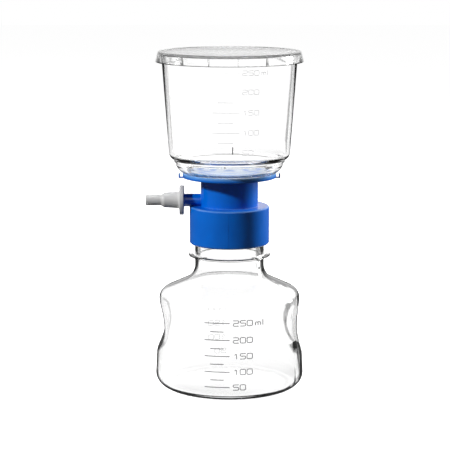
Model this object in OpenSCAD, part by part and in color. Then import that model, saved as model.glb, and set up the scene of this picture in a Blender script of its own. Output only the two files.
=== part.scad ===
// Bottle-top vacuum filtration unit: a clear funnel chamber with a push-on lid, over a membrane on
// a blue filter body, whose collar screws onto a clear receiver bottle. A hose adapter slides onto
// the body's side arm. The origin is on the upright axis at the plane that the bottle stands on.

/* [Receiver bottle] */
// Widest diameter of the bottle, just above its heel
bottle_d = 90.2; // [86:0.2:96]
// Diameter of the bottle's body where the shoulder's corner begins
shoulder_d = 85.6; // [80:0.2:86]
// Height at which the shoulder's corner begins
shoulder_z = 54.5; // [53.5:0.5:64]
// Radius of the corner between body and shoulder
corner_r = 6.5; // [4:0.5:10]
// Slope of the shoulder from level, in degrees
shoulder_slope = 25; // [18:1:34]
// Radius of the rounded heel
heel_r = 8; // [5:0.5:10]
// Width of the flat ring that the bottle stands on
foot_w = 3; // [2:0.5:5]
// Height that the middle of the base is pushed up by
pushup_h = 2.4; // [1.5:0.1:4]
// Radial room for the threads between the bottle's neck and the collar's bore
thread_room = 1.6; // [1.2:0.1:2.4]
// Radius of the sweep from the shoulder up into the neck
neck_sweep_r = 10; // [6:0.5:12]
// Height of the bottle's mouth
neck_top_z = 107.3; // [98:0.1:116]
// Diameter of the thin ring round the neck
neck_ring_d = 49.8; // [46:0.2:54]
// Thickness of the neck ring
neck_ring_t = 1.6; // [1:0.1:2.4]
// Height of the middle of the neck ring
neck_ring_z = 81; // [79:0.5:84]
// Wall of the bottle's body
bottle_wall = 1.4; // [1:0.1:2]
// Wall of the bottle's neck
neck_wall = 2; // [1.4:0.1:3]

/* [Grips in the bottle] */
// Depth of the grip on the side arm's side
left_grip_depth = 3.9; // [2:0.1:4.4]
// Angle from that grip's middle to its edge, in degrees
left_grip_angle = 26.5; // [25:0.5:34]
// Depth of the grip on the other side
right_grip_depth = 2.2; // [1.5:0.1:4]
// Angle from that grip's middle to its edge, in degrees
right_grip_angle = 31; // [24:0.5:36]
// Height of the deepest line of the grips
grip_z = 37.5; // [34:0.5:40]
// Rise from the deepest line to a grip's top edge
grip_up = 16; // [12:0.5:17]
// Fall from the deepest line to a grip's bottom edge
grip_down = 13.3; // [10:0.1:15]

/* [Filter body] */
// Diameter of the collar
collar_d = 48.2; // [46:0.2:54]
// Height of the collar
collar_h = 23; // [18:0.5:26]
// Wall of the collar's skirt
collar_wall = 1.6; // [1.2:0.1:2]
// Thickness of the collar's top
collar_top_t = 2; // [1.4:0.1:3]
// Size of the bevel round the collar's top and foot
collar_bevel = 0.8; // [0.3:0.1:1.2]
// Diameter of the column between collar and disc
column_d = 34.6; // [32:0.2:38]
// Height of the column
column_h = 17.5; // [14:0.5:24]
// Wall of the column
column_wall = 1.8; // [1.2:0.1:2.4]
// Diameter of the disc under the chamber
disc_d = 56.4; // [54.2:0.2:62]
// Thickness of the disc
disc_t = 2.6; // [2.4:0.1:3.4]
// Depth of the drain channels between the disc's support ribs
channel_h = 0.9; // [0.5:0.1:1]
// Width of the ledge that carries the membrane's edge
ledge_w = 1; // [0.6:0.1:2]
// Number of long support ribs, with a short one between each two
support_ribs = 16; // [8:1:24]
// Width of a support rib
support_rib_w = 0.8; // [0.5:0.1:1]
// Outside diameter of the drain tube
drain_d = 8.8; // [7:0.2:10]
// Wall of the drain tube
drain_wall = 1.3; // [1:0.1:1.6]
// How far the drain tube hangs below the bottle's mouth
drain_reach = 5; // [3:0.5:12]
// Reach of the two small lugs at the disc's sides, from the axis
lug_reach = 30.7; // [30:0.1:33]
// Width of a lug
lug_w = 3; // [2:0.5:5]
// Thickness of a lug's web
lug_web_t = 0.6; // [0.4:0.1:1]
// Thickness of a lug's upturned tip
lug_tip_t = 0.9; // [0.6:0.1:1.2]
// Height of that tip, from the web's underside
lug_tip_h = 2.7; // [2:0.1:3.2]

/* [Side arm and hose adapter] */
// Diameter of the side arm
arm_d = 7.8; // [7:0.1:8.4]
// Height of the side arm's axis above the collar's top
arm_rise = 3.3; // [2.6:0.1:6]
// Distance from the unit's axis to the shoulder that the adapter stops at
arm_reach = 27.6; // [26:0.2:34]
// Diameter of the spigot that enters the adapter
spigot_d = 6.2; // [5.6:0.1:6.6]
// Length of the spigot
spigot_l = 10.5; // [8:0.5:11]
// Bore of the side arm
arm_bore_d = 3.8; // [3:0.1:4.2]
// Length of the fibre plug in the side arm
plug_l = 9; // [4:0.5:14]
// Radial clearance between plug and bore
plug_gap = 0.03; // [0.01:0.01:0.1]
// Diameter of the adapter's flange
flange_d = 17.9; // [14:0.1:20]
// Thickness of the adapter's flange
flange_t = 2.7; // [2:0.1:3.5]
// Diameter of the adapter's barrel at the flange
barrel_d = 10; // [9.6:0.1:11.4]
// Diameter of the adapter's barrel at its far end
barrel_end_d = 8.9; // [8.6:0.1:9.5]
// Length of the barrel
barrel_l = 9.2; // [8.8:0.1:14]
// Length of the cone between barrel and hose tip
cone_l = 1.9; // [1:0.1:3]
// Diameter of the hose tip
tip_d = 6.4; // [6:0.1:7.5]
// Length of the hose tip
tip_l = 9.3; // [7:0.1:16]
// Bore of the hose tip
tip_bore_d = 4; // [3:0.1:4.4]
// Bevel on the edges of flange and tip
adapter_bevel = 0.4; // [0.2:0.1:0.6]
// Radial running clearance between spigot and adapter
spigot_gap = 0.05; // [0.02:0.01:0.1]

/* [Neck seal] */
// Thickness of the seal between the bottle's mouth and the collar
seal_t = 1.6; // [1:0.1:2.5]
// Width of the seal ring
seal_w = 2.9; // [2.4:0.1:3.2]
// Radial clearance from the seal to the collar's bore
seal_gap = 0.3; // [0.2:0.1:0.5]

/* [Upper chamber] */
// Height of the chamber from the disc to its rim
chamber_h = 71.6; // [60:0.2:90]
// Outside diameter of the chamber's rim
chamber_d = 81.6; // [78:0.2:90]
// Outside diameter where the straight wall ends
chamber_low_d = 72.8; // [70:0.2:76]
// Height above the disc where the straight wall ends
chamber_low_h = 11.4; // [11:0.2:16]
// Wall of the chamber
chamber_wall = 2; // [1.4:0.1:2.4]
// Size of the bevel where the straight wall turns into the cone
wall_bevel = 0.8; // [0.4:0.1:1.2]
// Diameter of the ring between cone and disc
ring_d = 64.2; // [63:0.2:65]
// Height of that ring, up to the cone
ring_h = 8; // [7:0.2:8.6]
// Height of the curve by which the ring draws in to the disc
ring_curve_h = 4.6; // [3.6:0.2:5.4]
// Bulge of that curve
ring_curve_rise = 0.55; // [0.2:0.05:1]
// How far the ring's foot stays inside the disc's edge
foot_inset = 0.6; // [0.3:0.1:1]
// Diameter of the small step at the ring's top
step_d = 66.6; // [65.8:0.2:68]
// Thickness of that step
step_t = 1.2; // [0.8:0.1:1.6]
// Thickness of the lip that clamps the membrane
lip_t = 1.2; // [0.8:0.1:1.6]
// Diameter of the chamber's drain opening, over the membrane
opening_d = 48.6; // [46:0.2:49]
// Bevel on the outside of the rim
rim_bevel = 0.5; // [0.2:0.1:0.8]

/* [Membrane] */
// Diameter of the membrane
membrane_d = 50.8; // [50:0.1:52]
// Thickness of the membrane
membrane_t = 0.3; // [0.1:0.1:0.5]
// Radial clearance round the membrane
membrane_gap = 0.3; // [0.1:0.1:0.6]

/* [Lid] */
// Diameter of the lid's top edge
lid_d = 85.6; // [84:0.2:96]
// Growth in diameter from the lid's top to the foot of its skirt
lid_flare = 2.8; // [1:0.2:4]
// Height of the lid
lid_h = 6.4; // [5:0.2:12]
// Thickness of the lid's top
lid_top_t = 1.6; // [1.2:0.1:2.5]
// Depth of the shallow recess in the lid's top
lid_recess = 0.4; // [0.2:0.1:0.7]
// Width of the raised rim round that recess
lid_rim_w = 2; // [1.5:0.1:4]
// Wall of the lid's skirt
lid_wall = 1.2; // [0.8:0.1:1.4]
// Radius of the lid's top edge
lid_edge_r = 0.8; // [0.4:0.1:1]
// Number of upright grip ribs inside the skirt
lid_ribs = 15; // [9:1:24]
// Width of a grip rib
lid_rib_w = 0.8; // [0.5:0.1:1.2]
// Turn of the rib nearest the front from straight ahead, in degrees
lid_rib_turn = 7; // [0:1:20]
// How far the ribs end above the foot of the skirt
lid_rib_rise = 0.6; // [0.3:0.1:1.5]
// Radial clearance between the grip ribs and the chamber
lid_gap = 0.15; // [0.1:0.05:0.25]

/* [Hidden] */
$fn = 96;
eps = 0.01;

collar_r = collar_d / 2;
collar_bore_r = collar_r - collar_wall;

bottle_r = bottle_d / 2;
shoulder_r = shoulder_d / 2;
neck_r = collar_bore_r - thread_room;
neck_bore_r = neck_r - neck_wall;
foot_r = bottle_r - heel_r;
foot_in_r = foot_r - foot_w;

ceiling_z = neck_top_z + seal_t;
collar_top_z = ceiling_z + collar_top_t;
collar_foot_z = collar_top_z - collar_h;
column_r = column_d / 2;
column_bore_r = column_r - column_wall;
disc_r = disc_d / 2;
disc_low_z = collar_top_z + column_h;
disc_z = disc_low_z + disc_t;
recess_r = membrane_d / 2 + membrane_gap;
support_z = disc_z - membrane_t;
channel_z = support_z - channel_h;
channel_r = recess_r - ledge_w;
drain_r = drain_d / 2;
drain_bore_r = drain_r - drain_wall;

arm_z = collar_top_z + arm_rise;
arm_end_x = -arm_reach - spigot_l;
spigot_stop_gap = 0.5;

seal_r = collar_bore_r - seal_gap;

rim_z = disc_z + chamber_h;
chamber_low_z = disc_z + chamber_low_h;
chamber_r = chamber_d / 2;
chamber_low_r = chamber_low_d / 2;
wall_lean = (chamber_r - chamber_low_r) / (chamber_h - chamber_low_h);
ring_r = ring_d / 2;
ring_top_z = disc_z + ring_h;

lid_z = rim_z + lid_top_t;
lid_foot_z = lid_z - lid_h;
lid_r = lid_d / 2;
lid_foot_r = lid_r + lid_flare / 2;

function unit(v) = v / norm(v);
function turned(v) = [-v.y, v.x];
function arc(c, r, from, to, steps = 10) =
    [for (i = [0:steps]) let (a = from + (to - from) * i / steps) c + r * [cos(a), sin(a)]];

// The line through the points, moved sideways to its left by w
function shifted(line, w) = [for (i = [0:len(line) - 1])
    let (before = unit(line[max(i, 1)] - line[max(i, 1) - 1]),
        next = min(i, len(line) - 2),
        after = unit(line[next + 1] - line[next]),
        side = unit(turned(before) + turned(after)))
    line[i] + side * w / (side * turned(before))];

// An arc from p to q that bulges to the right of the line between them
function bow(p, q, rise, steps = 8) = let (
        half = norm(q - p) / 2,
        r = (half * half + rise * rise) / (2 * rise),
        side = turned(unit(q - p)),
        c = (p + q) / 2 + side * (r - rise),
        from = atan2(p.y - c.y, p.x - c.x),
        turn = 2 * asin(half / r))
    arc(c, r, from, from + turn, steps);

// Outer radius of the chamber's straight wall at height z
function chamber_wall_r(z) = chamber_low_r + wall_lean * (z - chamber_low_z);

// ---- Receiver bottle ----

body_lean = atan((bottle_r - shoulder_r) / (shoulder_z - heel_r));
corner_c = [shoulder_r, shoulder_z] - corner_r * [cos(body_lean), sin(body_lean)];
slope_n = [sin(shoulder_slope), cos(shoulder_slope)];
corner_end = corner_c + corner_r * slope_n;
sweep_x = neck_r + neck_sweep_r;
sweep_c = [sweep_x,
    corner_end.y + (neck_sweep_r - (sweep_x - corner_end.x) * slope_n.x) / slope_n.y];

// Heel, body, shoulder and the sweep into the neck, from the foot upwards
bottle_line = concat(
    arc([foot_r, heel_r], heel_r, -90, 0),
    arc(corner_c, corner_r, body_lean, 90 - shoulder_slope),
    arc(sweep_c, neck_sweep_r, 270 - shoulder_slope, 180));
inner_line = shifted(bottle_line, bottle_wall);

// The base is a shallow dome inside the ring that the bottle stands on
dome_r = (foot_in_r * foot_in_r + pushup_h * pushup_h) / (2 * pushup_h);
dome_c = [0, pushup_h - dome_r];
dome_edge = 90 - asin(foot_in_r / dome_r);
dome_line = arc(dome_c, dome_r, 90, dome_edge);
floor_line = arc(dome_c, dome_r + bottle_wall, 90, dome_edge);

// Radius of the bottle's body at height z, without the grips
function body_r(z) = bottle_r - (z - heel_r) * tan(body_lean);

// Upright outline of a grip's cutter: two arcs that meet at the deepest line and run on past the
// grip's edges
grip_overrun = 1.35;
function grip_arc_r(depth, rise) = (rise * rise + depth * depth) / (2 * depth);
function grip_outline(depth, grow) = let (
        up_r = grip_arc_r(depth, grip_up) + grow,
        down_r = grip_arc_r(depth, grip_down) + grow,
        up_a = asin(min(1, grip_up * grip_overrun / up_r)),
        down_a = asin(min(1, grip_down * grip_overrun / down_r)),
        back_x = max(up_r, down_r))
    concat(
        [[back_x, -down_r * sin(down_a)]],
        arc([down_r - grow, 0], down_r, 180 + down_a, 180),
        arc([up_r - grow, 0], up_r, 180, 180 - up_a),
        [[back_x, up_r * sin(up_a)]]);

// A ring-shaped cutter. Its inner face is an upright curve of large radius that crosses the
// body's circle at the grip's edges.
module grip_cutter(depth, edge_angle, grow) {
    mid_r = body_r(grip_z);
    near_r = mid_r - depth;
    centre_x = (mid_r * mid_r - near_r * near_r) / (2 * (near_r - mid_r * cos(edge_angle)));
    translate([-centre_x, 0, grip_z])
        rotate_extrude()
            translate([near_r + centre_x, 0])
                polygon(grip_outline(depth, grow));
}

module grips(grow) {
    grip_cutter(right_grip_depth, right_grip_angle, grow);
    mirror([1, 0, 0])
        grip_cutter(left_grip_depth, left_grip_angle, grow);
}

module receiver_bottle() {
    edge_r = neck_ring_t / 2;
    color("white", 0.35)
        difference() {
            union() {
                difference() {
                    rotate_extrude()
                        polygon(concat(dome_line, bottle_line,
                            [[neck_r, neck_top_z], [0, neck_top_z]]));
                    grips(0);
                }
                translate([0, 0, neck_ring_z - edge_r])
                    cylinder(r = neck_ring_d / 2 - edge_r, h = neck_ring_t);
                translate([0, 0, neck_ring_z])
                    rotate_extrude()
                        translate([neck_ring_d / 2 - edge_r, 0])
                            circle(edge_r, $fn = 24);
            }
            difference() {
                rotate_extrude()
                    polygon(concat(floor_line, inner_line,
                        [[neck_bore_r, neck_ring_z], [0, neck_ring_z]]));
                grips(bottle_wall);
            }
            translate([0, 0, neck_ring_z - eps])
                cylinder(r = neck_bore_r, h = neck_top_z - neck_ring_z + 1);
        }
}

module neck_seal() {
    color("whitesmoke")
        translate([0, 0, neck_top_z])
            difference() {
                cylinder(r = seal_r, h = seal_t);
                translate([0, 0, -1])
                    cylinder(r = seal_r - seal_w, h = seal_t + 2);
            }
}

// ---- Filter body ----

// Ribs that hold the membrane up over the drain channels
module support_ribs() {
    step = 360 / support_ribs;
    intersection() {
        translate([0, 0, channel_z - eps])
            cylinder(r = channel_r + eps, h = channel_h + eps);
        for (i = [0:support_ribs - 1]) {
            rotate([0, 0, i * step])
                translate([drain_r, -support_rib_w / 2, channel_z - eps])
                    cube([channel_r, support_rib_w, channel_h + eps]);
            rotate([0, 0, (i + 0.5) * step])
                translate([channel_r / 2, -support_rib_w / 2, channel_z - eps])
                    cube([channel_r, support_rib_w, channel_h + eps]);
        }
    }
}

// An L-shaped lug whose web lies under the disc's edge
module lug() {
    root_x = disc_r - lug_w / 2;
    translate([root_x, -lug_w / 2, disc_low_z - lug_web_t])
        cube([lug_reach - root_x, lug_w, lug_web_t]);
    translate([lug_reach - lug_tip_t, -lug_w / 2, disc_low_z - lug_web_t])
        cube([lug_tip_t, lug_w, lug_tip_h]);
}

module body_shell() {
    difference() {
        union() {
            rotate_extrude()
                polygon([[0, collar_foot_z], [collar_r - collar_bevel, collar_foot_z],
                    [collar_r, collar_foot_z + collar_bevel],
                    [collar_r, collar_top_z - collar_bevel],
                    [collar_r - collar_bevel, collar_top_z], [column_r, collar_top_z],
                    [column_r, disc_low_z], [disc_r, disc_low_z], [disc_r, disc_z],
                    [0, disc_z]]);
            for (side = [0, 180])
                rotate([0, 0, side])
                    lug();
        }
        rotate_extrude()
            polygon([[0, collar_foot_z - 1], [collar_bore_r, collar_foot_z - 1],
                [collar_bore_r, ceiling_z], [column_bore_r, ceiling_z],
                [column_bore_r, disc_low_z], [0, disc_low_z]]);
        translate([0, 0, support_z])
            cylinder(r = recess_r, h = disc_t);
        translate([0, 0, channel_z])
            cylinder(r = channel_r, h = disc_t);
    }
}

// Places a cylinder on the side arm's axis, from x towards the column
module along_arm(x) {
    translate([x, 0, arm_z])
        rotate([0, 90, 0])
            children();
}

module filter_body() {
    drain_foot_z = neck_top_z - drain_reach;
    color("dodgerblue")
        difference() {
            union() {
                body_shell();
                support_ribs();
                translate([0, 0, drain_foot_z])
                    cylinder(r = drain_r, h = channel_z - drain_foot_z);
                along_arm(arm_end_x)
                    cylinder(d = spigot_d, h = spigot_l + 1);
                along_arm(-arm_reach)
                    cylinder(d = arm_d, h = arm_reach - column_bore_r - column_wall / 2);
            }
            translate([0, 0, drain_foot_z - 1])
                cylinder(r = drain_bore_r, h = disc_z - drain_foot_z);
            along_arm(arm_end_x - 1)
                cylinder(d = arm_bore_d, h = -arm_end_x - column_bore_r + column_wall + 1);
        }
}

module port_plug() {
    plug_inset = 1;
    color("white")
        along_arm(arm_end_x + plug_inset)
            cylinder(d = arm_bore_d - 2 * plug_gap, h = plug_l);
}

// ---- Hose adapter ----

module hose_adapter() {
    barrel_z = flange_t + barrel_l;
    tip_z = barrel_z + cone_l;
    end_z = tip_z + tip_l;
    flange_r = flange_d / 2;
    tip_r = tip_d / 2;
    color("lightgray")
        translate([-arm_reach, 0, arm_z])
            rotate([0, -90, 0])
                difference() {
                    rotate_extrude()
                        polygon([[0, 0], [flange_r - adapter_bevel, 0], [flange_r, adapter_bevel],
                            [flange_r, flange_t - adapter_bevel],
                            [flange_r - adapter_bevel, flange_t],
                            [barrel_d / 2, flange_t], [barrel_end_d / 2, barrel_z],
                            [tip_r, tip_z], [tip_r, end_z - adapter_bevel],
                            [tip_r - adapter_bevel, end_z], [0, end_z]]);
                    translate([0, 0, -1])
                        cylinder(r = spigot_d / 2 + spigot_gap, h = spigot_l + spigot_stop_gap + 1);
                    translate([0, 0, -1])
                        cylinder(d = tip_bore_d, h = end_z + 2);
                }
}

// ---- Membrane, chamber and lid ----

module membrane() {
    color("white")
        translate([0, 0, support_z])
            cylinder(d = membrane_d, h = membrane_t);
}

module upper_chamber() {
    foot_out = [disc_r - foot_inset, disc_z];
    opening_r = opening_d / 2;
    // The skin from the foot up to the rim, without the step
    skin = concat(
        bow(foot_out, [ring_r, disc_z + ring_curve_h], ring_curve_rise),
        [[ring_r, ring_top_z],
            [chamber_low_r - wall_bevel, chamber_low_z - wall_bevel * 2],
            [chamber_low_r, chamber_low_z],
            [chamber_r, rim_z]]);
    inside = shifted(skin, chamber_wall);
    last = len(skin) - 1;
    color("white", 0.3)
        rotate_extrude() {
            difference() {
                polygon(concat(
                    [[opening_r, disc_z]],
                    skin,
                    [[inside[last].x, rim_z]],
                    [for (i = [last - 1:-1:0]) inside[i]],
                    [[opening_r, disc_z + lip_t]]));
                translate([chamber_r, rim_z])
                    rotate(45)
                        square(rim_bevel * sqrt(2), center = true);
            }
            polygon([[ring_r - chamber_wall / 2, ring_top_z - step_t], [step_d / 2, ring_top_z - step_t],
                [step_d / 2, ring_top_z], [ring_r - chamber_wall / 2, ring_top_z]]);
        }
}

module lid() {
    in_top_r = lid_r - lid_wall;
    in_foot_r = lid_foot_r - lid_wall;
    rib_z = lid_foot_z + lid_rib_rise;
    rib_in_r = chamber_wall_r(rib_z) + lid_gap - lid_rib_w;
    color("white", 0.4)
        difference() {
            union() {
                rotate_extrude()
                    polygon(concat(
                        [[0, rim_z], [in_top_r, rim_z], [in_foot_r, lid_foot_z],
                            [lid_foot_r, lid_foot_z]],
                        arc([lid_r - lid_edge_r, lid_z - lid_edge_r], lid_edge_r, 0, 90, 6),
                        [[lid_r - lid_rim_w, lid_z],
                            [lid_r - lid_rim_w - lid_recess, lid_z - lid_recess],
                            [0, lid_z - lid_recess]]));
                for (i = [0:lid_ribs - 1])
                    rotate([0, 0, i * 360 / lid_ribs - 90 + lid_rib_turn])
                        translate([rib_in_r, -lid_rib_w / 2, rib_z])
                            cube([in_top_r + eps - rib_in_r, lid_rib_w, rim_z + eps - rib_z]);
            }
            // The chamber's wall with its clearance, which shapes the ribs' inner faces
            translate([0, 0, lid_foot_z - 1])
                cylinder(r1 = chamber_wall_r(lid_foot_z - 1) + lid_gap, r2 = chamber_r + lid_gap,
                    h = rim_z - lid_foot_z + 1);
        }
}

receiver_bottle();
neck_seal();
filter_body();
port_plug();
hose_adapter();
membrane();
upper_chamber();
lid();
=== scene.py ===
# %% [markdown]
# # A bottle-top vacuum filtration unit
# A clear funnel chamber under a push-on lid stands on a blue filter body. The blue body's collar
# screws onto a clear bottle, and a hose adapter sits on its side arm. This notebook dresses the
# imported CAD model: it keeps every size and place that the CAD gives, and adds the finer shapes and
# the finishes. All lengths are in metres, and the bottle stands on z = 0.

# %% Load the fixed frame
import math

import bmesh
import bpy
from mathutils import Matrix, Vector


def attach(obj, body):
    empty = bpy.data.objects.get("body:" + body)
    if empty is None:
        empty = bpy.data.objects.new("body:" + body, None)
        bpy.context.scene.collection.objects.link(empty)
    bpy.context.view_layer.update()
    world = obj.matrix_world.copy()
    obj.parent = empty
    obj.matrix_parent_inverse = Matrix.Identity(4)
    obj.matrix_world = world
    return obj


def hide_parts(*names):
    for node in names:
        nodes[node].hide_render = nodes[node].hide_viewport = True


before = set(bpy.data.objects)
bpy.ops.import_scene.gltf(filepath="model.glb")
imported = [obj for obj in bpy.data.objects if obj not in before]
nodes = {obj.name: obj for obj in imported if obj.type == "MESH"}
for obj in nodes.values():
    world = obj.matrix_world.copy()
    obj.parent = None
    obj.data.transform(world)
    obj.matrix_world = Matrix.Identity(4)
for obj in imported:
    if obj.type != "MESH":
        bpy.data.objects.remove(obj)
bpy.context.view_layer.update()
MM = 0.001
print("CAD nodes:", sorted(nodes))

# %% [markdown]
# ## The camera
# A long lens far from the object keeps its sides nearly parallel, which suits upright laboratory
# ware. The camera stands in front of the unit, a little above it, and looks down by 10 degrees.

# %% Camera
camera_place = (-0.0027, -1.0, 0.2744)
camera_tilt = 80.04  # degrees up from looking straight down
bpy.ops.object.camera_add(location=camera_place, rotation=(math.radians(camera_tilt), 0, 0))
camera = bpy.context.object
camera.name = "camera"
camera.data.sensor_width, camera.data.lens = 36, 133.8
camera.data.clip_start, camera.data.clip_end = 0.05, 20
bpy.context.scene.camera = camera
print("camera at", tuple(round(v, 3) for v in camera.location))

# %% [markdown]
# ## Node helpers
# Every finish below is a small node tree. The first helper adds a node and feeds its inputs, each
# with a plain value or with another node's output. The others do sums with it, so that a finish
# reads as a short list of steps.

# %% Helpers for node trees
def add_node(tree, kind, inputs=(), **settings):
    """Adds a node. Each input gets a value, or a link from the output that is given for it."""
    node = tree.nodes.new(kind)
    for name, value in settings.items():
        setattr(node, name, value)
    for name, value in dict(inputs).items():
        if isinstance(value, bpy.types.NodeSocket):
            tree.links.new(value, node.inputs[name])
        else:
            node.inputs[name].default_value = value
    return node


def new_material(name):
    material = bpy.data.materials.new(name)
    material.use_nodes = True
    material.node_tree.nodes.clear()
    return material, material.node_tree


def linear(red, green, blue):
    """A screen's colour, each part 0 to 255, as the linear values that shaders use."""
    def one(c):
        c /= 255
        return c / 12.92 if c <= 0.04045 else ((c + 0.055) / 1.055) ** 2.4
    return one(red), one(green), one(blue), 1

print("node helpers ready")

# %% Helpers for sums
def calculated(tree, operation, *terms):
    node = add_node(tree, "ShaderNodeMath", dict(enumerate(terms)), operation=operation)
    return node.outputs["Value"]


def spread(tree, source, low, high, at_low, at_high, **settings):
    """Spreads the range low to high over at_low to at_high, and holds it there outside."""
    return add_node(tree, "ShaderNodeMapRange", {
        "Value": source, "From Min": low, "From Max": high,
        "To Min": at_low, "To Max": at_high}, **settings).outputs["Result"]


def choose(tree, where, low, high):
    """low where the output called where is 0, and high where it is 1."""
    inputs = {"Factor": where, "A": low, "B": high}
    return add_node(tree, "ShaderNodeMix", inputs, data_type="FLOAT").outputs["Result"]


def parts_of(tree, source):
    """The X, Y and Z of a direction or a place."""
    return add_node(tree, "ShaderNodeSeparateXYZ", {0: source}).outputs

print("helpers for sums ready")

# %% [markdown]
# ## The studio
# Clear plastic shows itself only by what it bends and mirrors, so the room matters as much as the
# material. Seen directly and through the plastic the room is white, and only light from high up is
# dark, which draws the dark outlines. In reflections the room is white behind the object and from a
# low height upwards, brightest right overhead, and dim along the ground in front. The light that
# falls on the object stays low and even, and two lamps do the rest.

# %% Room
bpy.context.scene.view_settings.view_transform = "Standard"
world = bpy.data.worlds.new("studio")
bpy.context.scene.world = world
world.use_nodes = True
room = world.node_tree
room.nodes.clear()
seen_by = add_node(room, "ShaderNodeLightPath").outputs
direction = parts_of(room, add_node(room, "ShaderNodeTexCoord").outputs["Generated"])

# In reflections: white from a low height upwards, white behind, and brightest overhead.
upwards = spread(room, direction["Z"], 0.03, 0.28, 0.03, 1.6)
behind = spread(room, direction["Y"], 0.75, 0.95, 0.0, 1.1)
overhead = spread(room, direction["Z"], 0.88, 0.99, 0.0, 9.0)
mirrored = calculated(room, "ADD", calculated(room, "MAXIMUM", upwards, behind), overhead)

# Through clear plastic: light that was bent far up, or far to the left, comes from the dark.
leftwards = -0.6
slant = calculated(room, "MULTIPLY_ADD", direction["X"], leftwards, direction["Z"])
bent = spread(room, slant, 0.32, 0.6, 1.36, 0.03)
scattered = calculated(room, "GREATER_THAN", seen_by["Diffuse Depth"], 0.5)
scattered_level, falling_level, seen_level = 0.9, 0.05, 1.0
through = choose(room, scattered, bent, scattered_level)

level = choose(room, seen_by["Is Glossy Ray"], falling_level, mirrored)
level = choose(room, seen_by["Is Transmission Ray"], level, through)
level = choose(room, seen_by["Is Camera Ray"], level, seen_level)
sky = add_node(room, "ShaderNodeBackground", {"Color": (1, 1, 1, 1), "Strength": level})
add_node(room, "ShaderNodeOutputWorld", {"Surface": sky.outputs["Background"]})
print("room made with", len(room.nodes), "nodes")

# %% [markdown]
# ## The floor
# The unit stands on white paper. A white floor lights everything from below, which would wash out
# the shadow sides, so it sends little into reflections and soft light. Seen directly or through the
# plastic it glows as white as the room.

# %% Floor
floor_size = 8
bpy.ops.object.select_all(action="DESELECT")
bpy.ops.mesh.primitive_plane_add(size=floor_size, location=(0, 0, 0))
floor = bpy.context.object
floor.name = "floor"
bpy.ops.object.mode_set(mode="EDIT")
bpy.ops.mesh.subdivide(number_cuts=7)
bpy.ops.object.mode_set(mode="OBJECT")
floor_white, tree = new_material("floor_white")
seen_by = add_node(tree, "ShaderNodeLightPath").outputs
shade = choose(tree, seen_by["Is Glossy Ray"], 0.8, 0.06)
shade = choose(tree, seen_by["Is Diffuse Ray"], shade, 0.09)
lift = choose(tree, seen_by["Is Glossy Ray"], 0.0, 0.05)
lift = choose(tree, seen_by["Is Transmission Ray"], lift, 1.08)
lift = choose(tree, seen_by["Is Camera Ray"], lift, 0.94)
paper = add_node(tree, "ShaderNodeBsdfDiffuse", {"Color": shade})
glow = add_node(tree, "ShaderNodeEmission", {"Color": (1, 1, 1, 1), "Strength": lift})
both = add_node(tree, "ShaderNodeAddShader", {0: paper.outputs[0], 1: glow.outputs[0]})
add_node(tree, "ShaderNodeOutputMaterial", {"Surface": both.outputs[0]})
floor.data.materials.append(floor_white)
print("floor:", len(floor.data.polygons), "faces")

# %% [markdown]
# ## The lamps
# The key light is a softbox at the left, in front of the object and above it, so that the disc's
# shadow falls across the blue column. A second, taller one behind and to the right draws the bright
# edge of the blue collar. Neither is seen in reflections, where a square lamp would show as a
# patch.

# %% Lamps
def softbox(name, place, aim, width, height, watts):
    bpy.ops.object.light_add(type="AREA", location=place)
    lamp = bpy.context.object
    lamp.name = name
    lamp.data.shape = "RECTANGLE"
    lamp.data.size, lamp.data.size_y = width, height
    lamp.data.energy = watts
    lamp.rotation_euler = (Vector(aim) - Vector(place)).to_track_quat("-Z", "Y").to_euler()
    print(name, "at", place, "with", watts, "W")
    return lamp


middle = (0, 0, 0.12)
for lamp in (
        softbox("key_softbox", (-0.94, -0.54, 0.74), middle, width=0.12, height=0.12, watts=17),
        softbox("edge_softbox", (0.92, 0.52, 0.40), middle, width=0.3, height=0.8, watts=25)):
    lamp.visible_glossy = False

# %% [markdown]
# ## Drawing an outline and spinning it
# Most pieces here are round, and round things are easiest drawn as one outline and spun. A small
# plane is merged into a single point, which is moved to the outline's start and then extruded from
# point to point. Spin carries the outline round its axis, doubles are merged, and the faces are
# turned outwards.

# %% Helpers for outlines
def alone(piece):
    """Makes a piece the only selected object, and the active one."""
    bpy.ops.object.select_all(action="DESELECT")
    piece.select_set(True)
    bpy.context.view_layer.objects.active = piece
    return piece


def edit(piece):
    alone(piece)
    bpy.ops.object.mode_set(mode="EDIT")
    bpy.ops.mesh.select_mode(type="VERT")
    bpy.ops.mesh.select_all(action="SELECT")


def done():
    bpy.ops.object.mode_set(mode="OBJECT")


def drawn(name, points, closed=False):
    """A wire outline through points, extruded corner by corner."""
    bpy.ops.object.select_all(action="DESELECT")
    bpy.ops.mesh.primitive_plane_add(size=MM, location=(0, 0, 0))
    piece = bpy.context.object
    piece.name = piece.data.name = name
    edit(piece)
    bpy.ops.mesh.merge(type="CENTER")
    bpy.ops.transform.translate(value=points[0])
    for here, there in zip(points, points[1:]):
        step = Vector(there) - Vector(here)
        bpy.ops.mesh.extrude_region_move(TRANSFORM_OT_translate={"value": step})
    if closed:
        bpy.ops.mesh.select_all(action="DESELECT")
        for vertex in bmesh.from_edit_mesh(piece.data).verts:
            vertex.select_set(len(vertex.link_edges) < 2)
        bmesh.update_edit_mesh(piece.data)
        bpy.ops.mesh.edge_face_add()
    done()
    return piece


def spun(piece, steps, centre=(0, 0, 0), axis=(0, 0, 1)):
    """Spins a piece's outline once round, and leaves a closed shape whose faces look outwards."""
    edit(piece)
    bpy.ops.mesh.spin(steps=steps, angle=2 * math.pi, center=centre, axis=axis)
    bpy.ops.mesh.select_all(action="SELECT")
    bpy.ops.mesh.remove_doubles(threshold=1e-7)
    bpy.ops.mesh.normals_make_consistent(inside=False)
    done()
    return piece


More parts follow.
